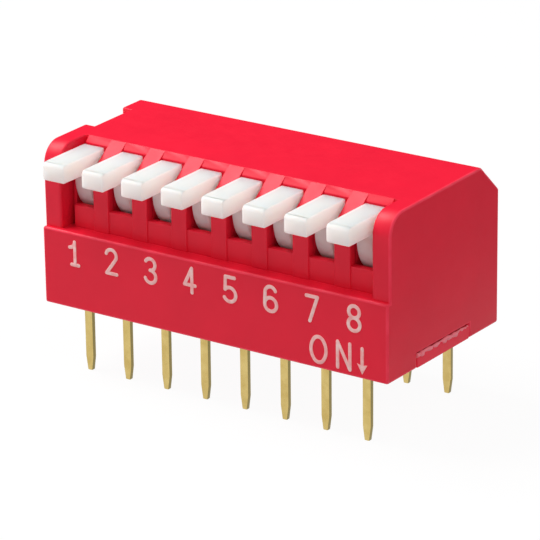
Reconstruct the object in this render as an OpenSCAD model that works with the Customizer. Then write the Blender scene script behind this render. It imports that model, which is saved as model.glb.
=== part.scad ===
// Eight-way piano DIP switch: a red housing, white levers that turn down to switch on, and two
// rows of flat through-hole pins. Millimetres, +Z up. The origin is the middle of the pin grid on
// the seating plane. Positions are counted along +X, and the bars of the levers point to -Y.

/* [Pin grid] */
// Spacing of the levers and of the pins along the housing
pitch = 2.54; // [2.5:0.01:2.6]
// Distance between the two rows of pins
row_gap = 7.62; // [7.4:0.02:7.8]
// Length of the pins below the seating plane
pin_len = 3.86; // [2.5:0.02:4.5]
// Width of a pin
pin_w = 0.5; // [0.4:0.02:0.6]
// Width of a pin at its tip
pin_tip_w = 0.28; // [0.2:0.02:0.4]
// Length of the tapered end of a pin
pin_taper = 0.8; // [0.4:0.1:1.2]
// Thickness of the terminal sheet
sheet = 0.26; // [0.2:0.01:0.3]

/* [Housing] */
// Distance of the front face from the middle of the pin grid
front_y = 5.05; // [5:0.01:5.2]
// Distance of the back face from the middle of the pin grid
back_y = 5.5; // [5.3:0.05:6]
// Height of the housing
height = 9; // [8.95:0.05:9.4]
// Fall of the top from the chamfer to the rounded corners of the end walls
top_fall = 0.14; // [0.02:0.01:0.2]
// Height of the ledge above the legend
ledge_z = 4.28; // [4.1:0.02:4.6]
// Depth of the sills of the lever slots below the top
sill_sink = 3.5; // [3.4:0.05:3.8]
// Thickness of the front wall
front_t = 0.8; // [0.6:0.05:0.85]
// Thickness of the ledge
ledge_t = 0.7; // [0.5:0.05:0.9]
// Thickness of the top, and of the sloped strip measured down
top_t = 0.8; // [0.7:0.02:0.84]
// Thickness of the back wall
back_t = 0.6; // [0.5:0.05:0.8]
// Thickness of the end walls
end_t = 0.6; // [0.5:0.05:0.8]
// Width of the front faces of the end walls
end_face_w = 1.1; // [1:0.01:1.2]
// Step from the front face back to the end walls
end_step = 0.25; // [0.1:0.05:0.4]
// Radius of the top front corners of the end walls
end_radius = 1.2; // [0.6:0.1:1.6]
// Height of the chamfer at the back
chamfer_h = 1.63; // [1:0.01:1.8]
// Depth of the chamfer at the back
chamfer_d = 1.75; // [1:0.01:1.9]

/* [Comb] */
// Width of a lever slot
slot_w = 1.57; // [1.5:0.01:1.65]
// Step from the front face back to the ribs
comb_step = 0.85; // [0.6:0.01:0.9]
// Step from the ribs back to the sills
sill_step = 0.07; // [0.05:0.01:0.2]
// Thickness of the ribs
comb_t = 0.55; // [0.45:0.01:0.58]
// Depth of a lever slot behind the ribs' fronts
slot_d = 1.42; // [1.35:0.01:1.6]
// Depth of the sloped strip behind the ribs' fronts
slope_d = 1.75; // [1.7:0.01:2]
// Angle of the sloped strip
slope_angle = 37; // [34:1:40]
// Depth of the shallow sink in the slope at the back of each slot
sink_h = 0.08; // [0.04:0.01:0.2]
// Width of the open slits between the outermost sills and the end walls
slit_w = 0.35; // [0.2:0.01:0.45]

/* [Base] */
// Thickness of the base plate
base_t = 1.6; // [1.2:0.05:1.8]
// Length of the partitions between the levers, from front to back
partition_l = 4.8; // [4:0.05:5.5]
// Thickness of the partitions at the ends
end_partition = 0.57; // [0.54:0.01:0.7]
// Width of the window at the foot of each end wall
window_w = 5.04; // [4:0.02:6]
// Height of the windows
window_h = 0.8; // [0.6:0.05:1.1]
// Offset of the windows towards the back
window_y = 0.18; // [-0.5:0.02:0.5]
// Width of the notch in the top of the first end wall
notch_w = 3.2; // [2:0.1:4]
// Offset of that notch towards the back
notch_y = 0.5; // [-0.5:0.1:1]
// Depth of that notch below the top
notch_h = 0.6; // [0.3:0.05:0.65]

/* [Levers] */
// Distance of the pivot behind the front face
pivot_in = 3.1; // [3.08:0.01:3.2]
// Depth of the pivot below the top
pivot_sink = 2.1; // [2:0.02:2.14]
// How far a bar stands out from the front face
bar_out = 1.45; // [1:0.05:2]
// Width of a bar
bar_w = 1.36; // [1.2:0.01:1.42]
// Height of a bar at its back
bar_h = 1.05; // [0.9:0.01:1.15]
// Depth of the bars' tops below the top of the housing
bar_sink = 0.45; // [0.4:0.01:0.6]
// Fall of a bar's top along its length
bar_fall = 0.05; // [0:0.01:0.15]
// Radius of the upper edge at the end of a bar
bar_radius = 0.25; // [0.1:0.01:0.4]
// Radius of the lower edge at the end of a bar
bar_foot_radius = 0.12; // [0.05:0.01:0.2]
// Width of the rounded stem in the slot
stem_w = 0.98; // [0.7:0.01:1.1]
// Radius of the hub about the pivot
hub_r = 1.1; // [0.9:0.01:1.15]
// Radius of a trunnion
trunnion_r = 0.45; // [0.35:0.01:0.5]
// Length of a trunnion beyond the hub
trunnion_l = 0.5; // [0.4:0.01:0.52]
// Width of the leg and the foot
leg_w = 1.2; // [1:0.01:1.3]
// Thickness of the leg
leg_t = 0.9; // [0.7:0.05:1]
// Height of the foot
foot_h = 0.75; // [0.6:0.05:1]
// Length of the foot along the strips
foot_l = 2.34; // [2.02:0.02:2.42]
// Angle through which a lever turns from off to on
travel_angle = 20; // [16:1:20]

/* [Contacts] */
// Width of the bridging contacts
contact_w = 0.9; // [0.7:0.05:1.1]
// Thickness of the bridging contacts
contact_t = 0.15; // [0.1:0.01:0.18]
// Height of the turned-up ends of the bridging contacts
contact_h = 0.4; // [0.3:0.05:0.5]
// Width of the terminals' strips
strip_w = 1; // [0.8:0.05:1.2]
// Length of the front strips from the middle of the pin
front_strip = 1.9; // [1.7:0.05:2]
// Gap between the front strips and the back strips
strip_gap = 0.6; // [0.5:0.05:0.8]

/* [Legend] */
// Height of the numbers
digit_h = 1.53; // [1.2:0.01:1.6]
// Height of the foot of the numbers above the seating plane
digit_z = 2.4; // [2.1:0.01:2.45]
// Height of the letters
letter_h = 1.58; // [1.2:0.01:1.6]
// Width of the letter O
letter_o_w = 1.12; // [0.8:0.01:1.2]
// Width of the letter N
letter_n_w = 0.94; // [0.8:0.01:1.2]
// Gap between the letters
letter_gap = 0.5; // [0.2:0.01:0.6]
// Gap between the letter N and the arrow
arrow_gap = 0.33; // [0.2:0.01:0.6]
// Height of the foot of the letters above the seating plane
letter_z = 0.25; // [0.2:0.01:0.4]
// Width of the arrow
arrow_w = 0.62; // [0.4:0.01:0.7]
// Length of the arrow's head
arrow_head = 0.55; // [0.3:0.01:0.8]
// Offset of the arrow from the last lever
arrow_x = 0.48; // [0.3:0.01:0.6]
// Width of the strokes
stroke = 0.2; // [0.1:0.01:0.22]
// Thickness of the ink
ink_t = 0.03; // [0.02:0.01:0.05]

/* [Clearances] */
// Between the base and the cover, all round
base_fit = 0.05; // [0.03:0.01:0.08]
// Above the tabs of the base in the windows of the cover
tab_gap = 0.12; // [0.1:0.01:0.25]
// Between a trunnion and its bearing
bearing_fit = 0.05; // [0.03:0.01:0.08]
// Between a hub and the partition beside it
hub_fit = 0.085; // [0.05:0.005:0.12]
// Between the back of a bar and the back of its slot
bar_fit = 0.17; // [0.12:0.01:0.3]
// Between the rounded stems and the sills, and the top above them
stem_fit = 0.06; // [0.05:0.01:0.2]
// Between the bridging contacts and the strips
wipe_fit = 0.05; // [0.03:0.01:0.08]
// Between a pin and the base round it
pin_fit = 0.02; // [0.01:0.01:0.04]

/* [Hidden] */
positions = 8;
numbers = [for (i = [1:positions]) i];
$fn = 48;
over = 1;
red = [0.82, 0.1, 0.17];
white = [0.94, 0.93, 0.9];
gold = [0.83, 0.7, 0.38];

// Along X
slot_end = (positions - 1) / 2 * pitch + slot_w / 2;
base_x = slot_end + end_partition;
cavity_x = base_x + base_fit;
half_l = cavity_x + end_t;
recess_x = half_l - end_face_w;
sill_end = recess_x - slit_w;
hub_w = slot_w - 2 * hub_fit;
trunnion_w = hub_w + 2 * trunnion_l;

// Along Y
comb_y = comb_step - front_y;
comb_back = comb_y + comb_t;
slot_back = comb_y + slot_d;
slope_back = comb_y + slope_d;
end_face_y = end_step - front_y;
cavity_front = front_t - front_y;
cavity_back = back_y - back_t;
top_back = back_y - chamfer_d;
top_front = end_face_y + end_radius;
partition_front = comb_back + base_fit;
partition_back = partition_front + partition_l;
pivot_y = pivot_in - front_y;
bar_front = -front_y - bar_out;
bar_back = slot_back - bar_fit;

// Along Z
cavity_top = height - top_t;
corner_top = height - top_fall;
sill_z = height - sill_sink;
pivot_z = height - pivot_sink;
ledge_under = ledge_z - ledge_t;
bar_top = height - bar_sink;
strip_top = base_t + sheet;

// About the pivot: angles are from straight down towards the back
stem_r = norm([comb_back - pivot_y, sill_z - pivot_z]) - stem_fit;
stem_top = slope_z(slot_back) - top_t - stem_fit - pivot_z;
contact_r = pivot_z - strip_top - wipe_fit;
foot_r = contact_r - contact_t;
foot_half_angle = asin(foot_l / 2 / foot_r);
foot_mid = -travel_angle / 2;
foot_low = foot_mid - foot_half_angle;
foot_high = foot_mid + foot_half_angle;
turned_up = contact_t / foot_r * 180 / PI;

// Middle of position i along the housing
function place(i) = (i - (positions + 1) / 2) * pitch;

// Height of the top at y
function top_z(y) = height - top_fall * (top_back - y) / (top_back - top_front);

// Height of the slope at y
function slope_z(y) = top_z(slope_back) - (slope_back - y) * tan(slope_angle);

// A (y, z) outline drawn out along X
module along_x(x0, x1) {
    translate([x0, 0, 0])
        rotate([90, 0, 90])
            linear_extrude(x1 - x0)
                children();
}

// A block between its lowest and its highest corner
module block(low, high) {
    translate(low)
        cube(high - low);
}

// A round bar about the pivot line
module pivot_bar(r, x0, x1) {
    translate([x0, pivot_y, pivot_z])
        rotate([0, 90, 0])
            cylinder(r = r, h = x1 - x0);
}

// What a round of radius r takes off a corner at the origin of a shape in the first quadrant
module corner_cut(r) {
    difference() {
        translate([-over, -over])
            square(r + over);
        translate([r, r])
            circle(r = r);
    }
}

// Part of a ring about the X axis, between two radii and two angles
module ring_part(r0, r1, a0, a1, w) {
    rotate([90, 0, 90])
        rotate([0, 0, a0 - 90])
            rotate_extrude(angle = a1 - a0)
                translate([r0, -w / 2])
                    square([r1 - r0, w]);
}

// ---- Cover ----

// Side view of the back and the top, up to the slope's upper edge
back_side = [
    [-front_y, 0], [back_y, 0],
    [back_y, height - chamfer_h], [top_back, height]
];

// Side view of the housing, apart from the end walls in front of the slope's upper edge
module comb_outline() {
    polygon(concat(back_side, [
        [slope_back, top_z(slope_back)], [comb_y, slope_z(comb_y)],
        [comb_y, ledge_z], [-front_y, ledge_z]
    ]));
}

// Side view of the front of an end wall, from inside the housing up to its rounded corner
module end_outline() {
    difference() {
        polygon([
            [slope_back, ledge_under], [slope_back, top_z(slope_back)],
            [top_front, corner_top], [end_face_y, corner_top], [end_face_y, ledge_under]
        ]);
        translate([end_face_y, corner_top])
            mirror([0, 1])
                corner_cut(end_radius);
    }
}

// Side view of the space inside, which follows the slope and the chamfer
module cavity_outline() {
    chamfer_x = back_t * chamfer_h / chamfer_d;
    polygon([
        [cavity_front, -over], [cavity_back, -over],
        [cavity_back, height - chamfer_h - top_t + chamfer_x],
        [top_back, cavity_top],
        [slope_back, top_z(slope_back) - top_t], [comb_back, slope_z(comb_back) - top_t],
        [comb_back, ledge_under], [cavity_front, ledge_under]
    ]);
}

// The lower edges of the bearings' upper halves hang between the levers
module upper_partitions() {
    for (i = [1:positions - 1])
        block([place(i) + slot_w / 2, comb_back - over, pivot_z + base_fit],
            [place(i + 1) - slot_w / 2, partition_back, height]);
    for (side = [0, 1])
        mirror([side, 0, 0])
            block([slot_end, comb_back - over, pivot_z + base_fit],
                [cavity_x + over, partition_back, height]);
}

// One slot: the opening above the sill, the sill's step and the sink in the slope
module slot_cut() {
    block([-slot_w / 2, comb_y - over, sill_z], [slot_w / 2, slot_back, height + over]);
    block([-slot_w / 2, comb_y - over, ledge_z], [slot_w / 2, comb_y + sill_step, height]);
    along_x(-slot_w / 2, slot_w / 2)
        polygon([
            [slot_back, slope_z(slot_back) - sink_h], [slope_back, top_z(slope_back)],
            [slope_back, height + over], [slot_back - over, height + over],
            [slot_back - over, slope_z(slot_back) - sink_h]
        ]);
}

// The slit beside an end wall, which opens into the outermost slot
module slit_cut() {
    block([sill_end, comb_y - over, ledge_z], [recess_x, comb_back + base_fit, height]);
    block([slot_end - base_fit, comb_y - over, slope_z(comb_y)],
        [recess_x, slope_back, height + over]);
}

module cover() {
    color(red)
        difference() {
            union() {
                along_x(-half_l, half_l)
                    comb_outline();
                along_x(recess_x, half_l)
                    end_outline();
                along_x(-half_l, -recess_x)
                    end_outline();
            }
            difference() {
                along_x(-cavity_x, cavity_x)
                    cavity_outline();
                upper_partitions();
            }
            pivot_bar(trunnion_r + bearing_fit, -cavity_x, cavity_x);
            for (i = numbers)
                translate([place(i), 0, 0])
                    slot_cut();
            for (side = [0, 1])
                mirror([side, 0, 0]) {
                    slit_cut();
                    block([cavity_x - over, window_y - window_w / 2, -over],
                        [half_l + over, window_y + window_w / 2, window_h]);
                }
            block([-half_l - over, notch_y - notch_w / 2, height - notch_h],
                [-cavity_x, notch_y + notch_w / 2, height + over]);
        }
}

// ---- Base ----

module base() {
    color(red * 0.92)
        difference() {
            union() {
                block([-base_x, cavity_front + base_fit, 0], [base_x, cavity_back - base_fit, base_t]);
                for (i = [1:positions - 1])
                    block([place(i) + slot_w / 2, partition_front, base_t / 2],
                        [place(i + 1) - slot_w / 2, partition_back, pivot_z]);
                for (side = [0, 1])
                    mirror([side, 0, 0]) {
                        block([slot_end, partition_front, base_t / 2], [base_x, partition_back, pivot_z]);
                        block([slot_end, window_y - window_w / 2 + base_fit, 0],
                            [half_l, window_y + window_w / 2 - base_fit, window_h - tab_gap]);
                    }
            }
            pivot_bar(trunnion_r + bearing_fit, -half_l, half_l);
            for (i = numbers, side = [-1, 1])
                translate([place(i), side * row_gap / 2, base_t / 2])
                    cube([pin_w + 2 * pin_fit, sheet + 2 * pin_fit, base_t + 2 * over], center = true);
        }
}

// ---- Levers, drawn about their pivot ----

// Side view of a bar
module bar_outline() {
    front = bar_front - pivot_y;
    back = bar_back - pivot_y;
    top = bar_top - pivot_z;
    foot = top - bar_h;
    difference() {
        polygon([[front, foot], [back, foot], [back, top], [front, top - bar_fall]]);
        translate([front, top - bar_fall])
            mirror([0, 1])
                corner_cut(bar_radius);
        translate([front, foot])
            corner_cut(bar_foot_radius);
    }
}

// Side view of the stem: the front of a disc about the pivot, flat below the top of the housing
module stem_outline() {
    difference() {
        circle(r = stem_r);
        translate([0, -stem_r - over])
            square(2 * stem_r + 2 * over);
        translate([-stem_r - over, stem_top])
            square(stem_r + 2 * over);
    }
}

module lever(i) {
    color(white)
        translate([place(i), pivot_y, pivot_z]) {
            along_x(-bar_w / 2, bar_w / 2)
                bar_outline();
            along_x(-stem_w / 2, stem_w / 2)
                stem_outline();
            rotate([0, 90, 0])
                cylinder(r = hub_r, h = hub_w, center = true);
            rotate([0, 90, 0])
                cylinder(r = trunnion_r, h = trunnion_w, center = true);
            rotate([foot_mid, 0, 0])
                translate([0, 0, (foot_h / 2 - foot_r) / 2])
                    cube([leg_w, leg_t, foot_r - foot_h / 2], center = true);
            ring_part(foot_r - foot_h, foot_r, foot_low, foot_high, leg_w);
        }
}

// ---- Contacts: a strip round the foot of a lever, with its ends turned up ----

module contact(i) {
    color(gold)
        translate([place(i), pivot_y, pivot_z]) {
            ring_part(foot_r, contact_r, foot_low - turned_up, foot_high + turned_up, contact_w);
            ring_part(contact_r - contact_h, contact_r, foot_low - turned_up, foot_low, contact_w);
            ring_part(contact_r - contact_h, contact_r, foot_high, foot_high + turned_up, contact_w);
        }
}

// ---- Terminals: a pin, a bend and a strip on the base, drawn as a front one ----

module terminal(strip_l) {
    pin_y = -row_gap / 2;
    inner_y = pin_y + sheet / 2;
    color(gold) {
        translate([0, inner_y, 0])
            rotate([90, 0, 0])
                linear_extrude(sheet)
                    polygon([
                        [-pin_w / 2, base_t], [-pin_w / 2, pin_taper - pin_len],
                        [-pin_tip_w / 2, -pin_len], [pin_tip_w / 2, -pin_len],
                        [pin_w / 2, pin_taper - pin_len], [pin_w / 2, base_t]
                    ]);
        along_x(-pin_w / 2, pin_w / 2)
            intersection() {
                translate([inner_y, base_t])
                    circle(r = sheet);
                translate([inner_y - sheet, base_t])
                    square(sheet);
            }
        block([-strip_w / 2, inner_y, base_t], [strip_w / 2, pin_y + strip_l, strip_top]);
    }
}

module terminal_front(i) {
    translate([place(i), 0, 0])
        terminal(front_strip);
}

module terminal_back(i) {
    translate([place(i), 0, 0])
        mirror([0, 1, 0])
            terminal(row_gap - front_strip - strip_gap);
}

// ---- Legend: raised ink, drawn flat with the foot of each sign at the origin ----

// A straight stroke with round ends
module line(p, q) {
    run = q - p;
    translate(p)
        cylinder(d = stroke, h = ink_t);
    translate(q)
        cylinder(d = stroke, h = ink_t);
    translate(p)
        rotate([0, 0, atan2(run[1], run[0])])
            translate([0, -stroke / 2, 0])
                cube([norm(run), stroke, ink_t]);
}

// A curved stroke with round ends
module arc(c, r, a0, a1) {
    for (a = [a0, a1])
        translate(c + r * [cos(a), sin(a)])
            cylinder(d = stroke, h = ink_t);
    translate(c)
        rotate([0, 0, a0])
            rotate_extrude(angle = a1 - a0)
                translate([r - stroke / 2, 0])
                    square([stroke, ink_t]);
}

module ring(c, r) {
    translate(c)
        difference() {
            cylinder(r = r + stroke / 2, h = ink_t);
            translate([0, 0, -over])
                cylinder(r = r - stroke / 2, h = ink_t + 2 * over);
        }
}

// The number i on a grid of u: four high and two wide between the strokes' middles
module number(i, u) {
    if (i == 1) {
        line([0.35 * u, 0], [0.35 * u, 3.85 * u]);
        line([-0.35 * u, 0], [1.05 * u, 0]);
        arc([-0.65 * u, 3.85 * u], u, -90, 0);
    }
    if (i == 2) {
        arc([0, 3 * u], u, -40, 165);
        line([u * cos(40), (3 - sin(40)) * u], [-u, 0]);
        line([-u, 0], [u, 0]);
    }
    if (i == 3) {
        arc([0, 3.05 * u], 0.95 * u, -90, 150);
        arc([0, 1.05 * u], 1.05 * u, -160, 90);
    }
    if (i == 4) {
        line([0.4 * u, 0], [0.4 * u, 4 * u]);
        line([0.4 * u, 4 * u], [-u, 1.2 * u]);
        line([-u, 1.2 * u], [u, 1.2 * u]);
    }
    if (i == 5) {
        line([-0.8 * u, 4 * u], [0.9 * u, 4 * u]);
        line([-0.8 * u, 4 * u], [-0.9 * u, 1.9 * u]);
        arc([-0.05 * u, 1.15 * u], 1.15 * u, -150, 138);
    }
    if (i == 6) {
        ring([0, 1.1 * u], 1.1 * u);
        line([-1.1 * u, 1.1 * u], [-u, 3 * u]);
        arc([0, 3 * u], u, 25, 180);
    }
    if (i == 7) {
        line([-u, 4 * u], [u, 4 * u]);
        line([u, 4 * u], [-0.4 * u, 0]);
    }
    if (i == 8) {
        ring([0, 3.05 * u], 0.95 * u);
        ring([0, 1.05 * u], 1.05 * u);
    }
}

// An upright oval of four arcs, w wide and h high between the strokes' middles
module letter_o(w, h) {
    end_r = 0.36 * w;
    rise = h / 2 - end_r;
    side_r = (w * w / 4 + rise * rise - end_r * end_r) / (w - 2 * end_r);
    turn = asin(rise / (side_r - end_r));
    for (a = [0, 180])
        translate([0, h / 2, 0])
            rotate([0, 0, a]) {
                arc([0, rise], end_r, turn, 180 - turn);
                arc([w / 2 - side_r, 0], side_r, -turn, turn);
            }
}

module letter_n(w, h) {
    line([-w / 2, 0], [-w / 2, h]);
    line([-w / 2, h], [w / 2, 0]);
    line([w / 2, 0], [w / 2, h]);
}

module arrow(w, h) {
    line([0, arrow_head], [0, h - stroke / 2]);
    linear_extrude(ink_t)
        polygon([[0, 0], [w / 2, arrow_head], [0, arrow_head * 0.85], [-w / 2, arrow_head]]);
}

module legend() {
    arrow_at = place(positions) + arrow_x;
    n_at = arrow_at - (arrow_w + letter_n_w) / 2 - arrow_gap;
    o_at = n_at - (letter_n_w + letter_o_w) / 2 - letter_gap;
    color([0.98, 0.8, 0.8])
        translate([0, -front_y, 0])
            rotate([90, 0, 0]) {
                for (i = numbers)
                    translate([place(i), digit_z + stroke / 2, 0])
                        number(i, (digit_h - stroke) / 4);
                translate([o_at, letter_z + stroke / 2, 0])
                    letter_o(letter_o_w - stroke, letter_h - stroke);
                translate([n_at, letter_z + stroke / 2, 0])
                    letter_n(letter_n_w - stroke, letter_h - stroke);
                translate([arrow_at, letter_z, 0])
                    arrow(arrow_w, letter_h - stroke / 2);
            }
}

cover();
base();
legend();
for (i = numbers) {
    lever(i);
    contact(i);
    terminal_front(i);
    terminal_back(i);
}
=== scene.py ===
"""Finishes an eight-way piano DIP switch: its red housing, white levers, gold-plated pins and legend.

It is laid out as an add-on and run as a script. Everything is in metres, in the frame of the model.
"""

import math

import bmesh
import bpy
from bpy.props import FloatProperty, FloatVectorProperty, PointerProperty
from mathutils import Matrix, Vector


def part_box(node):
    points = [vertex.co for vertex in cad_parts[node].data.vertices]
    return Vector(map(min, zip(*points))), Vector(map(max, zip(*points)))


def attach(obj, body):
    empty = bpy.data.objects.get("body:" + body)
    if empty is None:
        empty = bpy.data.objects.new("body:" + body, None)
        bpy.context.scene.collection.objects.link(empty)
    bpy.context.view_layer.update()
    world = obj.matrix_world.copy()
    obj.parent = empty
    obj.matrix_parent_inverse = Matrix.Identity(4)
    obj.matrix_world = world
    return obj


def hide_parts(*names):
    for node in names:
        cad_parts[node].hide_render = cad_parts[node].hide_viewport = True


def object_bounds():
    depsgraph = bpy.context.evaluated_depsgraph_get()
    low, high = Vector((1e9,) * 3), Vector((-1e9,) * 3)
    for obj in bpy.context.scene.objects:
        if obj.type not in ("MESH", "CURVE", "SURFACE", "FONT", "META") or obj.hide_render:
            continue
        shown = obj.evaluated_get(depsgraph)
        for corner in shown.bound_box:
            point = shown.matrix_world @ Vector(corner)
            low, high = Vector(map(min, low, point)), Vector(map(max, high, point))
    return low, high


bl_info = {
    "name": "Piano DIP switch",
    "version": (1, 0, 0),
    "blender": (4, 5, 0),
    "location": "3D View > Sidebar > DIP switch",
    "description": "Finishes an eight-way piano DIP switch and sets a small studio round it",
    "category": "Object",
}

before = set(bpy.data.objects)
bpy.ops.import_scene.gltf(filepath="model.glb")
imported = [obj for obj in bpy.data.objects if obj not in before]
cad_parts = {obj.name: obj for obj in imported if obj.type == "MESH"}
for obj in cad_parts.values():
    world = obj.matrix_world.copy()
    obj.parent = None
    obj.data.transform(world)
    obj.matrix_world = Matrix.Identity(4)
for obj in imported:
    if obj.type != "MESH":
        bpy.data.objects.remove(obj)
cad_box = [list(corner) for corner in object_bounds()]

MM = 0.001
POSITIONS = [number for number in range(1, 13) if f"lever_{number}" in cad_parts]

# Edges that turn more than SHARP are rounded or stay creases; faces that turn less than FLAT are one face.
SHARP = math.radians(30)
FLAT = math.radians(0.3)
# A face of a pin is a flank when its normal lies this near to the X axis.
FLANK = math.cos(math.radians(40))
# Corners nearer than MERGE are the same corner. Places nearer than TOUCH to the ink's face lie on it, and
# places nearer than HAIR to a face of the housing lie on that.
MERGE = 1e-7
TOUCH = 1e-6
HAIR = 0.01 * MM
# Rounds on edges this near to the ends or the front of the housing get a painted highlight, a paler red.
HIGHLIGHT_REACH = 0.2 * MM

# The end walls of the cover, inside which the comb stands.
END_WALL = 1.11 * MM
# How far the weld flash starts inside the cover's ends, and how far it strays, in its own thicknesses.
FLASH_INSET = 0.05 * MM
FLASH_STRAY = 1.6
# How fast the painted shade on the levers' tops, a cooler, greyer white, fades over the rounds: a higher
# power fades sooner.
SHADED_TOP_POWER = 2

# Masks that the materials read from the meshes.
# Painted highlight: the rounds by the ends and the front of the housing.
EDGE_HIGHLIGHT = "painted_edge_highlight"
# Olive flanks of the pins: sheared metal, and partly a painted dark reflection.
SHEARED_AND_REFLECTION = "sheared_flank_and_dark_reflection"
# Painted shade: a cooler, greyer white on the levers' upward faces.
SHADED_TOP = "painted_shade_top"


# ---- Places and sizes read from the frame ----

def low(node):
    """The lowest corner of a CAD node's box."""
    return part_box(node)[0]


def high(node):
    """The highest corner of a CAD node's box."""
    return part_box(node)[1]


PITCH = low("lever_2").x - low("lever_1").x
FLOOR_Z = low("terminal_front_1").z
COVER_END = high("cover").x


# ---- Colours ----

def linear(code):
    """The linear RGBA of an sRGB hex code such as "C8102E"."""
    channels = [int(code[i:i + 2], 16) / 255 for i in (0, 2, 4)]
    return tuple(c / 12.92 if c <= 0.04045 else ((c + 0.055) / 1.055) ** 2.4 for c in channels) + (1.0,)


def length_property(name, description, millimetres):
    """A length in the panel, given here in millimetres."""
    return FloatProperty(
        name=name, description=description, default=millimetres * MM, min=0, unit="LENGTH", subtype="DISTANCE"
    )


def colour_property(name, description, code):
    """A colour in the panel, given here as an sRGB hex code."""
    return FloatVectorProperty(
        name=name, description=description, default=linear(code), size=4, min=0, max=1, subtype="COLOR"
    )


def angle_property(name, description, degrees):
    """An angle in the panel, given here in degrees."""
    return FloatProperty(
        name=name, description=description, default=math.radians(degrees), unit="ROTATION", subtype="ANGLE"
    )


class HousingSettings(bpy.types.PropertyGroup):
    """The moulded cover and the base"""

    colour: colour_property("Plastic", "Red of the moulded cover", "EE1E3A")
    # Painted highlight: the paler red on the edge rounds by the ends and the front.
    highlight_colour: colour_property("Rubbed edges", "Paler red where edges are rubbed", "FF3E58")
    # Painted light: the same red plastic as the cover, painted lighter to offset the shade on the tabs in
    # their recess.
    base_lightened_colour: colour_property("Base plastic", "Red of the base plate and its tabs", "FF2442")
    flash_colour: colour_property("Flash", "Paler red of the thin, ragged weld flash", "FF8C98")
    edge: length_property("Edges", "Radius of the moulded outer edges", 0.12)
    comb_edge: length_property("Comb edges", "Radius of the edges round the lever slots", 0.045)
    grain: length_property("Grain", "Grit of the spark-eroded mould surface", 0.09)
    flash: length_property("Flash", "Thickness of the weld flash on the tabs", 0.15)


class LeverSettings(bpy.types.PropertyGroup):
    """The eight levers"""

    colour: colour_property("Plastic", "White of the levers", "FBF7EC")
    # Painted shade on the levers' tops, given by their upward normals, not a mark of fingers.
    shaded_top_colour: colour_property("Tops", "Cooler, greyer white of the tops, where fingers press", "DEECE6")
    # Painted red bounce and shade: the stems take this pinker, darker white, not a red film.
    bounce_tint_colour: colour_property("Film", "Colour of the stems, under a red film", "F0D2CE")
    edge: length_property("Edges", "Radius of the levers' edges", 0.08)
    depth: length_property("Light depth", "How far light travels inside the plastic", 3.0)
    # How far below the levers' tops the painted red bounce and shade on the stems begins.
    bounce_tint: length_property("Top of the film", "Depth of the film's edge below the levers' tops", 1.1)


class TerminalSettings(bpy.types.PropertyGroup):
    """The sixteen terminals and the contacts inside"""

    colour: colour_property("Plating", "Colour of the gold plating", "D8C07C")
    worn_colour: colour_property("Thin plating", "Colour where the plating is thin", "C8AE68")
    # Partly painted reflection: the olive stands for the sheared flanks and also for the dark surroundings
    # that the flanks mirror.
    sheared_and_dark_reflection_colour: colour_property("Flanks", "Olive of the sheared flanks of the pins", "8E8050")
    edge: length_property("Edges", "Radius of the stamped edges", 0.04)
    scratch: length_property("Draw marks", "Spacing of the fine marks along the pins", 0.06)


class LegendSettings(bpy.types.PropertyGroup):
    """The printed numbers and letters"""

    colour: colour_property("Ink", "Colour of the ink over the red plastic", "FFD8D4")
    thin_colour: colour_property("Thin ink", "Colour where the ink lies thin", "FFAAAA")
    edge: length_property("Edges", "Radius of the ink's edges", 0.025)


class StudioSettings(bpy.types.PropertyGroup):
    """The camera, the lamps and the floor"""

    azimuth: angle_property("Azimuth", "Turn of the camera from the front towards +X", 35.145)
    elevation: angle_property("Elevation", "Height of the camera above the horizon", 20.196)
    roll: angle_property("Roll", "Roll of the camera", -0.801)
    distance: length_property("Distance", "Distance from the camera to the point it aims at", 175)
    lens: FloatProperty(name="Lens", description="Focal length in millimetres", default=227, min=1)
    floor_colour: colour_property("Floor", "Colour of the floor", "CCCCCC")
    card_colour: colour_property("Card", "Colour of the card that keeps glare off the top", "141414")
    sky_level: FloatProperty(name="Sky", description="Level of the light from all round", default=0.35, min=0)
    key_level: FloatProperty(name="Key", description="Level of the main softbox", default=0.97, min=0)
    fill_level: FloatProperty(name="Fill", description="Level of the front softbox", default=0.03, min=0)
    side_level: FloatProperty(name="Side", description="Level of the right softbox", default=0.22, min=0)


GROUPS = {
    "dip_housing": HousingSettings,
    "dip_levers": LeverSettings,
    "dip_terminals": TerminalSettings,
    "dip_legend": LegendSettings,
    "dip_studio": StudioSettings,
}


# ---- Node trees ----

def add_node(tree, kind, settings=None, sockets=None):
    """Adds a node. Settings are its properties; sockets maps its inputs to values or to other sockets."""
    node = tree.nodes.new(kind)
    for name, value in (settings or {}).items():
        setattr(node, name, value)
    for name, value in (sockets or {}).items():
        if isinstance(value, bpy.types.NodeSocket):
            tree.links.new(value, node.inputs[name])
        else:
            node.inputs[name].default_value = value
    return node


def new_material(name):
    """An empty material and its node tree."""
    material = bpy.data.materials.new(name)
    material.use_nodes = True
    material.node_tree.nodes.clear()
    return material, material.node_tree


def noise(tree, size, detail=2.0, stretch=(1, 1, 1)):
    """A noise whose blobs are about `size` metres across, longer along an axis that is stretched."""
    place = add_node(tree, "ShaderNodeTexCoord").outputs["Object"]
    if stretch != (1, 1, 1):
        scale = [1 / s for s in stretch]
        place = add_node(tree, "ShaderNodeMapping", sockets={"Vector": place, "Scale": scale}).outputs[0]
    return add_node(
        tree, "ShaderNodeTexNoise", sockets={"Vector": place, "Scale": 1 / size, "Detail": detail}
    ).outputs["Fac"]


def between(tree, value, start, end):
    """A 0 to 1 value brought to run from start to end, for roughness and the like."""
    return add_node(
        tree, "ShaderNodeMapRange",
        sockets={"Value": value, "From Min": 0.3, "From Max": 0.7, "To Min": start, "To Max": end},
    ).outputs[0]


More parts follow.
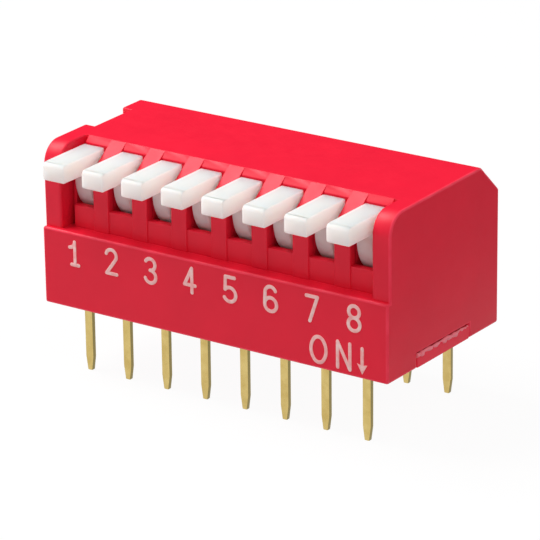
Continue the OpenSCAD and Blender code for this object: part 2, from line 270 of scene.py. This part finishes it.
def mixed(tree, value, start, end):
    """A colour that runs from start to end with a 0 to 1 value."""
    first, second, result = 6, 7, 2
    return add_node(
        tree, "ShaderNodeMix", {"data_type": "RGBA"}, {0: value, first: start, second: end}
    ).outputs[result]


def masked(tree, name, patchy=0):
    """The mask called name on the mesh; noise blobs of size patchy break it down to half in places."""
    mask = add_node(tree, "ShaderNodeAttribute", {"attribute_name": name}).outputs["Fac"]
    if patchy:
        worn = between(tree, noise(tree, patchy), 0.5, 1)
        mask = add_node(tree, "ShaderNodeMath", {"operation": "MULTIPLY"}, {0: mask, 1: worn}).outputs[0]
    return mask


def shade(tree, bump, sockets):
    """The shader at the end of a material: bump is (height, distance, strength)."""
    height, distance, strength = bump
    normal = add_node(
        tree, "ShaderNodeBump", sockets={"Height": height, "Distance": distance, "Strength": strength}
    ).outputs[0]
    surface = add_node(tree, "ShaderNodeBsdfPrincipled", sockets={**sockets, "Normal": normal})
    add_node(tree, "ShaderNodeOutputMaterial", sockets={"Surface": surface.outputs[0]})


def seen_directly(tree):
    """1 for rays from the camera, a reflection or glass, and 0 for rays that carry light to the switch."""
    path = add_node(tree, "ShaderNodeLightPath").outputs
    seen = add_node(
        tree, "ShaderNodeMath", {"operation": "MAXIMUM"}, {0: path["Is Camera Ray"], 1: path["Is Glossy Ray"]}
    ).outputs[0]
    return add_node(
        tree, "ShaderNodeMath", {"operation": "MAXIMUM"}, {0: seen, 1: path["Is Transmission Ray"]}
    ).outputs[0]


def faded(colour, share):
    """A colour made darker, or with a share above 1 lighter."""
    return tuple(min(1, c * share) for c in colour[:3]) + (1.0,)


# ---- Materials ----

def moulded_nylon(name, colour, highlight_colour, grain):
    """Red nylon from a spark-eroded mould: satin and finely grained, with a painted highlight in paler red on
    the rounds by the ends and the front.
    """
    cloud_size = 3 * MM
    highlight_patch_size = 0.8 * MM
    sheen_size = 0.7 * MM
    grit_height = 0.004 * MM
    material, tree = new_material(name)
    clouds = between(tree, noise(tree, cloud_size), 0, 1)
    plain = mixed(tree, clouds, faded(colour, 0.97), faded(colour, 1.03))
    grit = noise(tree, grain, 3)
    shade(tree, (grit, grit_height, 0.5), {
        # Painted highlight: rounds by the ends and the front, broken up in patches, take the paler red.
        "Base Color": mixed(tree, masked(tree, EDGE_HIGHLIGHT, highlight_patch_size), plain, highlight_colour),
        "Roughness": between(tree, noise(tree, sheen_size), 0.37, 0.43),
        "IOR": 1.5,
        "Specular IOR Level": 0.22,
    })
    return material


def white_acetal(name, colour, shaded_top_colour, bounce_tint_colour, depth, bounce_tint_top):
    """White acetal: waxy, so that light soaks through it. Below a height the stems are painted pinker and
    darker, a painted red bounce from the housing and painted shade under the bars.
    """
    cloud_size = 1.5 * MM
    sheen_size = 0.5 * MM
    grit_size = 0.08 * MM
    grit_height = 0.003 * MM
    bounce_tint_fade = 0.3 * MM
    material, tree = new_material(name)
    clouds = between(tree, noise(tree, cloud_size), 0, 1)
    clean = mixed(tree, clouds, faded(colour, 0.97), colour)
    # Painted shade: the tops, by their upward normals, take the cooler, greyer white.
    clean = mixed(tree, masked(tree, SHADED_TOP), clean, shaded_top_colour)
    place = add_node(tree, "ShaderNodeTexCoord").outputs["Object"]
    height = add_node(tree, "ShaderNodeSeparateXYZ", sockets={0: place}).outputs["Z"]
    # Painted red bounce and shade: below this height the stems fade into the pinker, darker colour.
    bounce_tint = add_node(
        tree, "ShaderNodeMapRange",
        sockets={
            "Value": height, "From Min": bounce_tint_top - bounce_tint_fade, "From Max": bounce_tint_top, "To Min": 1, "To Max": 0
        },
    ).outputs[0]
    shade(tree, (noise(tree, grit_size, 3), grit_height, 0.4), {
        "Base Color": mixed(tree, bounce_tint, clean, bounce_tint_colour),
        "Roughness": between(tree, noise(tree, sheen_size), 0.38, 0.46),
        "IOR": 1.48,
        "Specular IOR Level": 0.25,
        "Subsurface Weight": 1.0,
        "Subsurface Radius": (1.0, 0.85, 0.75),
        "Subsurface Scale": depth,
    })
    return material


def gold_plate(name, colour, worn_colour, sheared_and_dark_reflection_colour, scratch):
    """Thin gold over nickel on stamped brass: soft sheen, fine marks along the pins, and olive flanks, partly
    the sheared metal and partly a painted dark reflection.
    """
    mark_length = 14
    mark_depth = 0.004 * MM
    patch_size = 0.6 * MM
    material, tree = new_material(name)
    marks = noise(tree, scratch, 2, stretch=(1, 1, mark_length))
    patches = between(tree, noise(tree, patch_size, 3), 0, 1)
    shade(tree, (marks, mark_depth, 0.6), {
        "Base Color": mixed(
            tree, masked(tree, SHEARED_AND_REFLECTION), mixed(tree, patches, worn_colour, colour), sheared_and_dark_reflection_colour
        ),
        "Metallic": 1.0,
        "Roughness": between(tree, marks, 0.24, 0.38),
    })
    return material


def printed_ink(name, colour, thin_colour):
    """White pad-printing ink: matt, slightly uneven, so that the red below tints it."""
    patch_size = 0.35 * MM
    grit_size = 0.05 * MM
    grit_height = 0.003 * MM
    material, tree = new_material(name)
    cover = noise(tree, patch_size, 3)
    shade(tree, (noise(tree, grit_size), grit_height, 0.5), {
        "Base Color": mixed(tree, between(tree, cover, 0, 1), thin_colour, colour),
        "Roughness": 0.5,
    })
    return material


def studio_white(name, colour):
    """Matt paper for the floor. The view and reflections see it white, apart from shadows."""
    glow_share = 0.95
    material, tree = new_material(name)
    seen = seen_directly(tree)
    paper = add_node(tree, "ShaderNodeBsdfDiffuse", sockets={"Color": colour}).outputs[0]
    bleached = add_node(tree, "ShaderNodeBsdfDiffuse", sockets={"Color": (1, 1, 1, 1)}).outputs[0]
    glow = add_node(
        tree, "ShaderNodeEmission", sockets={"Color": (1, 1, 1, 1), "Strength": seen}
    ).outputs[0]
    white = add_node(tree, "ShaderNodeMixShader", sockets={0: glow_share, 1: bleached, 2: glow}).outputs[0]
    lit = add_node(tree, "ShaderNodeMixShader", sockets={0: seen, 1: paper, 2: white}).outputs[0]
    add_node(tree, "ShaderNodeOutputMaterial", sockets={"Surface": lit})
    return material


def dark_card(name, colour):
    """Black velvet: matt, so that the faces of the housing that mirror it show their own red."""
    material, tree = new_material(name)
    paper = add_node(tree, "ShaderNodeBsdfDiffuse", sockets={"Color": colour})
    add_node(tree, "ShaderNodeOutputMaterial", sockets={"Surface": paper.outputs[0]})
    return material


# ---- Meshes ----

def show(name, mesh, material, body):
    """Links a finished mesh as a piece that rides on a body."""
    piece = bpy.data.objects.new(name, mesh)
    bpy.context.scene.collection.objects.link(piece)
    mesh.materials.clear()
    mesh.materials.append(material)
    for polygon in mesh.polygons:
        polygon.material_index = 0
    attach(piece, body)
    return piece


def evaluated_mesh(holder, name):
    """The mesh that an object's modifiers give, as a plain mesh."""
    graph = bpy.context.evaluated_depsgraph_get()
    mesh = bpy.data.meshes.new_from_object(
        holder.evaluated_get(graph), preserve_all_data_layers=True, depsgraph=graph
    )
    mesh.name = name
    return mesh


def merged_copy(node):
    """A copy of a CAD node's mesh with its loose triangles joined into whole faces."""
    solid = bmesh.new()
    solid.from_mesh(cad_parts[node].data)
    bmesh.ops.remove_doubles(solid, verts=solid.verts, dist=MERGE)
    bmesh.ops.dissolve_limit(
        solid, angle_limit=FLAT, verts=solid.verts, edges=solid.edges, use_dissolve_boundaries=False
    )
    return solid


def marked(mesh, name, value_of):
    """Writes a mask on a mesh, from 0 to 1, as value_of(face) says."""
    mask = mesh.attributes.new(name, "FLOAT", "FACE")
    for face, item in zip(mesh.polygons, mask.data):
        item.value = value_of(face)


def outermost(place, lowest, highest):
    """Whether a place lies by the ends or the front of a box, where rounds get the painted highlight."""
    return min(place.x - lowest.x, highest.x - place.x, place.y - lowest.y) < HIGHLIGHT_REACH


def rounded(node, name, radius_of, segments=3):
    """A copy of a CAD node with its outward edges rounded; radius_of(place) gives each radius."""
    solid = merged_copy(node)
    radii = {}
    for edge in solid.edges:
        if edge.is_manifold and edge.is_convex and edge.calc_face_angle() > SHARP:
            radii[edge.index] = radius_of(sum((v.co for v in edge.verts), Vector()) / 2)
    widest = max(radii.values())
    weight = solid.edges.layers.float.new("bevel_weight_edge")
    for edge in solid.edges:
        edge[weight] = radii.get(edge.index, 0) / widest
    mesh = bpy.data.meshes.new(name)
    solid.to_mesh(mesh)
    solid.free()
    mesh.materials.clear()
    for _ in ("faces", "rounds"):
        mesh.materials.append(None)
    holder = bpy.data.objects.new(name, mesh)
    bpy.context.scene.collection.objects.link(holder)
    bevel = holder.modifiers.new("Rounded edges", "BEVEL")
    bevel.limit_method = "WEIGHT"
    bevel.width = widest
    bevel.segments = segments
    bevel_faces = 1
    bevel.material = bevel_faces
    bevel.use_clamp_overlap = False
    bevel.miter_outer = "MITER_ARC"
    result = evaluated_mesh(holder, name)
    bpy.data.objects.remove(holder)
    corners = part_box(node)

    def highlighted(face):
        """Whether a face is a round by the ends or the front of the box, which gets the painted highlight."""
        return face.material_index == bevel_faces and outermost(face.center, *corners)

    marked(result, EDGE_HIGHLIGHT, highlighted)
    return smooth(result, name)


def smooth(mesh, name):
    """Smooth shading over rounds and flats, with hard creases kept where no round is."""
    solid = bmesh.new()
    solid.from_mesh(mesh)
    for face in solid.faces:
        face.smooth = True
    for edge in solid.edges:
        edge.smooth = edge.calc_face_angle(math.pi) < SHARP
    solid.to_mesh(mesh)
    solid.free()
    holder = bpy.data.objects.new(name, mesh)
    bpy.context.scene.collection.objects.link(holder)
    weighted = holder.modifiers.new("Face normals", "WEIGHTED_NORMAL")
    weighted.keep_sharp = True
    result = evaluated_mesh(holder, name)
    bpy.data.objects.remove(holder)
    return result


# ---- Geometry Nodes ----

def new_tree(name, inputs):
    """A Geometry Nodes tree with named inputs {name: (socket type, default)}; gives it and its input node."""
    tree = bpy.data.node_groups.new(name, "GeometryNodeTree")
    tree.is_modifier = True
    tree.interface.new_socket("Geometry", in_out="INPUT", socket_type="NodeSocketGeometry")
    tree.interface.new_socket("Geometry", in_out="OUTPUT", socket_type="NodeSocketGeometry")
    for label, (kind, default) in inputs.items():
        socket = tree.interface.new_socket(label, in_out="INPUT", socket_type=kind)
        if default is not None:
            socket.default_value = default
    return tree, tree.nodes.new("NodeGroupInput")


def run_tree(tree, name, values):
    """Runs a tree on an empty mesh with the given inputs and gives its result as a plain mesh."""
    holder = bpy.data.objects.new(name, bpy.data.meshes.new(name))
    bpy.context.scene.collection.objects.link(holder)
    modifier = holder.modifiers.new(tree.name, "NODES")
    modifier.node_group = tree
    sockets = {s.name: s.identifier for s in tree.interface.items_tree if s.in_out == "INPUT"}
    for label, value in values.items():
        modifier[sockets[label]] = value
    mesh = evaluated_mesh(holder, name)
    bpy.data.objects.remove(holder)
    return mesh


def end_tree(tree, geometry, material):
    """Realizes a tree's instances, sets their material and sends them out."""
    real = add_node(tree, "GeometryNodeRealizeInstances", sockets={0: geometry}).outputs[0]
    coated = add_node(
        tree, "GeometryNodeSetMaterial", sockets={"Geometry": real, "Material": material}
    ).outputs[0]
    add_node(tree, "NodeGroupOutput", sockets={0: coated})


def terminal_rows_tree():
    """Two rows of terminals: a front and a back one, each repeated along X at the pitch."""
    tree, given = new_tree("Terminal rows", {
        "Front terminal": ("NodeSocketObject", None),
        "Back terminal": ("NodeSocketObject", None),
        "Count": ("NodeSocketInt", len(POSITIONS)),
        "Pitch": ("NodeSocketFloat", PITCH),
        "Plating": ("NodeSocketMaterial", None),
    })
    step = add_node(tree, "ShaderNodeCombineXYZ", sockets={"X": given.outputs["Pitch"]}).outputs[0]
    places = add_node(
        tree, "GeometryNodeMeshLine", sockets={"Count": given.outputs["Count"], "Offset": step}
    ).outputs[0]
    rows = []
    for side in ("Front terminal", "Back terminal"):
        shape = add_node(
            tree, "GeometryNodeObjectInfo", {"transform_space": "ORIGINAL"}, {"Object": given.outputs[side]}
        ).outputs["Geometry"]
        rows.append(add_node(
            tree, "GeometryNodeInstanceOnPoints", sockets={"Points": places, "Instance": shape}
        ).outputs[0])
    both = add_node(tree, "GeometryNodeJoinGeometry")
    for row in rows:
        tree.links.new(row, both.inputs[0])
    end_tree(tree, both.outputs[0], given.outputs["Plating"])
    return tree


def flash_tree():
    """Weld flash: a thin bead along a straight edge, ragged in width, height and lie."""
    tree, given = new_tree("Weld flash", {
        "Start": ("NodeSocketVector", None),
        "End": ("NodeSocketVector", None),
        "Thickness": ("NodeSocketFloat", 0.0),
        "Raggedness": ("NodeSocketFloat", 0.0),
        "Lump": ("NodeSocketFloat", 0.4 * MM),
        "Points": ("NodeSocketInt", 90),
        "Plastic": ("NodeSocketMaterial", None),
    })
    inside = given.outputs
    edge = add_node(
        tree, "GeometryNodeCurvePrimitiveLine", sockets={"Start": inside["Start"], "End": inside["End"]}
    ).outputs[0]
    path = add_node(
        tree, "GeometryNodeResampleCurve", sockets={"Curve": edge, "Count": inside["Points"]}
    ).outputs[0]
    here = add_node(tree, "GeometryNodeInputPosition").outputs[0]
    spacing = add_node(
        tree, "ShaderNodeMath", {"operation": "DIVIDE"}, {0: 1.0, 1: inside["Lump"]}
    ).outputs[0]
    lumps = add_node(
        tree, "ShaderNodeTexNoise", sockets={"Vector": here, "Scale": spacing, "Detail": 3.0}
    ).outputs
    shift = add_node(
        tree, "ShaderNodeVectorMath", {"operation": "SUBTRACT"}, {0: lumps["Color"], 1: (0.5, 0.5, 0.5)}
    ).outputs[0]
    shift = add_node(
        tree, "ShaderNodeVectorMath", {"operation": "SCALE"}, {0: shift, "Scale": inside["Raggedness"]}
    ).outputs[0]
    path = add_node(
        tree, "GeometryNodeSetPosition", sockets={"Geometry": path, "Offset": shift}
    ).outputs[0]
    width = add_node(
        tree, "ShaderNodeMapRange",
        sockets={"Value": lumps["Fac"], "From Min": 0.35, "From Max": 0.65, "To Min": 0.3, "To Max": 1.0},
    ).outputs[0]
    bead = add_node(
        tree, "GeometryNodeCurvePrimitiveCircle", sockets={"Resolution": 10, "Radius": inside["Thickness"]}
    ).outputs[0]
    skin = add_node(
        tree, "GeometryNodeCurveToMesh",
        sockets={"Curve": path, "Profile Curve": bead, "Scale": width, "Fill Caps": True},
    ).outputs[0]
    end_tree(tree, skin, inside["Plastic"])
    return tree


# ---- Operators, one for each piece or group of like pieces ----

class DIP_OT_cover(bpy.types.Operator):
    """Rounds the moulded edges of the red cover and gives it its plastic"""

    bl_idname = "dip.cover"
    bl_label = "Cover"

    def execute(self, context):
        housing = context.scene.dip_housing
        comb_end = COVER_END - END_WALL
        behind_front = low("cover").y + HAIR

        def radius_of(place):
            """Small rounds on the comb, which ends at the middle of the housing, and large ones elsewhere."""
            comb = abs(place.x) < comb_end and behind_front < place.y < 0
            return housing.comb_edge if comb else housing.edge

        mesh = rounded("cover", "housing_cover", radius_of)
        plastic = moulded_nylon(
            "Red nylon, spark-eroded finish", housing.colour, housing.highlight_colour, housing.grain
        )
        piece = show("housing_cover", mesh, plastic, "housing")
        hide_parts("cover")
        return {"FINISHED"}


class DIP_OT_base(bpy.types.Operator):
    """Rounds the base and lays the ragged weld flash along its two tabs"""

    bl_idname = "dip.base"
    bl_label = "Base and weld flash"

    def execute(self, context):
        housing = context.scene.dip_housing
        mesh = rounded("base", "housing_base", lambda place: housing.comb_edge, segments=2)
        # Painted light: the base takes the lightened red.
        plastic = moulded_nylon(
            "Red nylon of the base", housing.base_lightened_colour, housing.highlight_colour, housing.grain
        )
        piece = show("housing_base", mesh, plastic, "housing")
        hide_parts("base")

        tab_face = high("base").x - HAIR
        tab = [v.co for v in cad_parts["base"].data.vertices if v.co.x > tab_face]
        top = max(co.z for co in tab)
        front = min(co.y for co in tab)
        back = max(co.y for co in tab)
        flash_plastic = moulded_nylon(
            "Torn nylon of the flash", housing.flash_colour, housing.flash_colour, housing.grain
        )
        for side, name in ((-1, "flash_left"), (1, "flash_right")):
            x = side * (COVER_END - FLASH_INSET)
            mesh = run_tree(flash_tree(), name, {
                "Start": (x, front, top),
                "End": (x, back, top),
                "Thickness": housing.flash,
                "Raggedness": FLASH_STRAY * housing.flash,
                "Plastic": flash_plastic,
            })
            piece = show(name, mesh, flash_plastic, "housing")
        return {"FINISHED"}


class DIP_OT_levers(bpy.types.Operator):
    """Rounds the eight white levers and gives them their plastic"""

    bl_idname = "dip.levers"
    bl_label = "Levers"

    def execute(self, context):
        levers = context.scene.dip_levers
        # The painted red bounce and shade on the stems starts this far below the tops.
        plastic = white_acetal(
            "White acetal", levers.colour, levers.shaded_top_colour, levers.bounce_tint_colour, levers.depth,
            high("lever_1").z - levers.bounce_tint,
        )
        for number in POSITIONS:
            node = f"lever_{number}"
            name = f"white_lever_{number}"
            mesh = rounded(node, name, lambda place: levers.edge)
            # Painted shade: the more a face turns up, the more it takes the cooler, greyer white of the tops.
            marked(mesh, SHADED_TOP, lambda face: max(face.normal.z, 0) ** SHADED_TOP_POWER)
            piece = show(name, mesh, plastic, f"switch_{number}")
            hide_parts(node)
        return {"FINISHED"}


class DIP_OT_terminals(bpy.types.Operator):
    """Repeats a rounded front and back terminal along the housing, and plates the contacts"""

    bl_idname = "dip.terminals"
    bl_label = "Terminals and contacts"

    def execute(self, context):
        terminals = context.scene.dip_terminals
        plating = gold_plate(
            "Gold flash over nickel", terminals.colour, terminals.worn_colour, terminals.sheared_and_dark_reflection_colour,
            terminals.scratch,
        )
        patterns = {}
        for side in ("front", "back"):
            mesh = rounded(f"terminal_{side}_1", f"pattern_{side}", lambda place: terminals.edge, segments=2)
            # The flanks that face along X take the olive: sheared metal, and partly a painted dark
            # reflection.
            marked(mesh, SHEARED_AND_REFLECTION, lambda face: abs(face.normal.x) > FLANK)
            patterns[side] = bpy.data.objects.new(f"pattern_{side}", mesh)
            context.scene.collection.objects.link(patterns[side])
        mesh = run_tree(terminal_rows_tree(), "gold_terminals", {
            "Front terminal": patterns["front"],
            "Back terminal": patterns["back"],
            "Plating": plating,
        })
        for pattern in patterns.values():
            bpy.data.objects.remove(pattern)
        piece = show("gold_terminals", mesh, plating, "housing")
        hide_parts(*[f"terminal_{side}_{n}" for side in ("front", "back") for n in POSITIONS])
        for number in POSITIONS:
            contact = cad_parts[f"contact_{number}"]
            contact.data.materials.clear()
            contact.data.materials.append(plating)
        return {"FINISHED"}


class DIP_OT_legend(bpy.types.Operator):
    """Softens the edges of the printed numbers and letters and gives them their ink"""

    bl_idname = "dip.legend"
    bl_label = "Legend"

    def execute(self, context):
        legend = context.scene.dip_legend
        printed_face = low("legend").y + TOUCH

        def radius_of(place):
            """Rounds on the face that shows, and none where the ink meets the housing."""
            return legend.edge if place.y < printed_face else 0

        mesh = rounded("legend", "legend_ink", radius_of, segments=2)
        ink = printed_ink("Pad-printed white ink", legend.colour, legend.thin_colour)
        piece = show("legend_ink", mesh, ink, "housing")
        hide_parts("legend")
        return {"FINISHED"}


# ---- Studio ----

def direction(azimuth, elevation):
    """The unit vector towards a place at this azimuth from the front and this height above the horizon."""
    return Vector((
        math.sin(azimuth) * math.cos(elevation), -math.cos(azimuth) * math.cos(elevation), math.sin(elevation)
    ))


# From the middle of the switch to the point that the camera aims at.
AIM_SHIFT = Vector((2.34, -2.48, 1.23)) * MM
SENSOR_WIDTH = 36
NEAREST_SEEN = 0.01
FLOOR_RADIUS = 1.0
# Each softbox: the way from the switch to it, its distance and its width.
SOFTBOXES = {
    "key": (Vector((-0.54, -0.12, 0.83)).normalized(), 0.25, 0.15),
    "fill": (direction(math.radians(-40), math.radians(30)), 0.3, 0.2),
    "side": (direction(math.radians(70), math.radians(50)), 0.3, 0.2),
}
# The hung card stands where the top of the housing mirrors what is behind it.
HUNG_SIDE = Vector((-0.54, 0.77, 0.345)).normalized()
HUNG_DISTANCE = 0.25
HUNG_HALF = 0.16
# The laid card lies on the floor past the right end, which mirrors it.
LAID_HALF = 0.05
LAID_GAP = 8 * MM
LAID_LIFT = 0.05 * MM


def softbox(name, towards, aim, distance, size, level):
    """A square area lamp. At level 1 a surface that faces it shows its colour as it is."""
    lamp = bpy.data.lights.new(name, "AREA")
    lamp.shape = "SQUARE"
    lamp.size = size
    lamp.energy = level * (math.pi * distance) ** 2
    holder = bpy.data.objects.new(name, lamp)
    bpy.context.scene.collection.objects.link(holder)
    turn = towards.to_track_quat("Z", "Y").to_matrix().to_4x4()
    holder.matrix_world = Matrix.Translation(aim + towards * distance) @ turn


def card(name, place, half_size, material):
    """A square card that reflections see and the camera doesn't, which keeps white glare off the plastic."""
    shape = bmesh.new()
    bmesh.ops.create_grid(shape, size=half_size)
    shape.transform(place)
    mesh = bpy.data.meshes.new(name)
    shape.to_mesh(mesh)
    shape.free()
    mesh.materials.append(material)
    holder = bpy.data.objects.new(name, mesh)
    bpy.context.scene.collection.objects.link(holder)
    holder.visible_camera = False
    return holder


class DIP_OT_studio(bpy.types.Operator):
    """Sets the camera, the pale floor, the soft light from all round and the softboxes"""

    bl_idname = "dip.studio"
    bl_label = "Studio"

    def execute(self, context):
        scene = context.scene
        studio = scene.dip_studio
        centre = (Vector(cad_box[0]) + Vector(cad_box[1])) / 2

        lens = bpy.data.cameras.new("camera")
        lens.sensor_width = SENSOR_WIDTH
        lens.lens = studio.lens
        lens.clip_start = NEAREST_SEEN
        camera = bpy.data.objects.new("camera", lens)
        scene.collection.objects.link(camera)
        towards = direction(studio.azimuth, studio.elevation)
        aim = centre + AIM_SHIFT
        turn = towards.to_track_quat("Z", "Y").to_matrix().to_4x4()
        roll = Matrix.Rotation(studio.roll, 4, "Z")
        camera.matrix_world = Matrix.Translation(aim + towards * studio.distance) @ turn @ roll
        scene.camera = camera

        floor = bmesh.new()
        bmesh.ops.create_circle(floor, cap_ends=True, radius=FLOOR_RADIUS, segments=64)
        floor.transform(Matrix.Translation((0, 0, FLOOR_Z)))
        mesh = bpy.data.meshes.new("floor")
        floor.to_mesh(mesh)
        floor.free()
        mesh.materials.append(studio_white("Matt white paper", studio.floor_colour))
        floor = bpy.data.objects.new("floor", mesh)
        scene.collection.objects.link(floor)

        black = dark_card("Black velvet card", studio.card_colour)
        tilt = HUNG_SIDE.to_track_quat("Z", "Y").to_matrix().to_4x4()
        card("hung_card", Matrix.Translation(centre + HUNG_SIDE * HUNG_DISTANCE) @ tilt, HUNG_HALF, black)
        laid_at = Vector((COVER_END + LAID_GAP + LAID_HALF, LAID_HALF, FLOOR_Z + LAID_LIFT))
        laid = card("laid_card", Matrix.Translation(laid_at), LAID_HALF, black)
        laid.visible_diffuse = False
        laid.visible_shadow = False

        for name, (way, distance, size) in SOFTBOXES.items():
            softbox(name, way, centre, distance, size, getattr(studio, f"{name}_level"))

        world = bpy.data.worlds.new("studio")
        scene.world = world
        world.use_nodes = True
        tree = world.node_tree
        tree.nodes.clear()
        level = add_node(
            tree, "ShaderNodeMapRange",
            sockets={"Value": seen_directly(tree), "To Min": studio.sky_level, "To Max": 1.0},
        ).outputs[0]
        sky = add_node(tree, "ShaderNodeBackground", sockets={"Color": (1, 1, 1, 1), "Strength": level})
        add_node(tree, "ShaderNodeOutputWorld", sockets={"Surface": sky.outputs[0]})
        scene.view_settings.view_transform = "Standard"
        return {"FINISHED"}


OPERATORS = [
    DIP_OT_studio,
    DIP_OT_cover,
    DIP_OT_base,
    DIP_OT_levers,
    DIP_OT_terminals,
    DIP_OT_legend,
]


class DIP_PT_panel(bpy.types.Panel):
    """Lists the pieces of the switch in the sidebar"""

    bl_label = "Piano DIP switch"
    bl_idname = "DIP_PT_panel"
    bl_space_type = "VIEW_3D"
    bl_region_type = "UI"
    bl_category = "DIP switch"

    def draw(self, context):
        """One button for each operator, then the settings of each group."""
        for operator in OPERATORS:
            self.layout.operator(operator.bl_idname)
        for label, group in GROUPS.items():
            box = self.layout.box()
            box.label(text=group.__doc__)
            for name in group.__annotations__:
                box.prop(getattr(context.scene, label), name)


def register():
    """Adds the settings, the operators and the panel."""
    for cls in [*GROUPS.values(), *OPERATORS, DIP_PT_panel]:
        bpy.utils.register_class(cls)
    for label, group in GROUPS.items():
        setattr(bpy.types.Scene, label, PointerProperty(type=group))


def unregister():
    """Takes them away again."""
    for label in GROUPS:
        delattr(bpy.types.Scene, label)
    for cls in reversed([*GROUPS.values(), *OPERATORS, DIP_PT_panel]):
        bpy.utils.unregister_class(cls)


def main():
    """Makes every piece and the studio."""
    register()
    for operator in OPERATORS:
        getattr(bpy.ops.dip, operator.bl_idname.split(".")[1])()


if __name__ == "__main__":
    main()
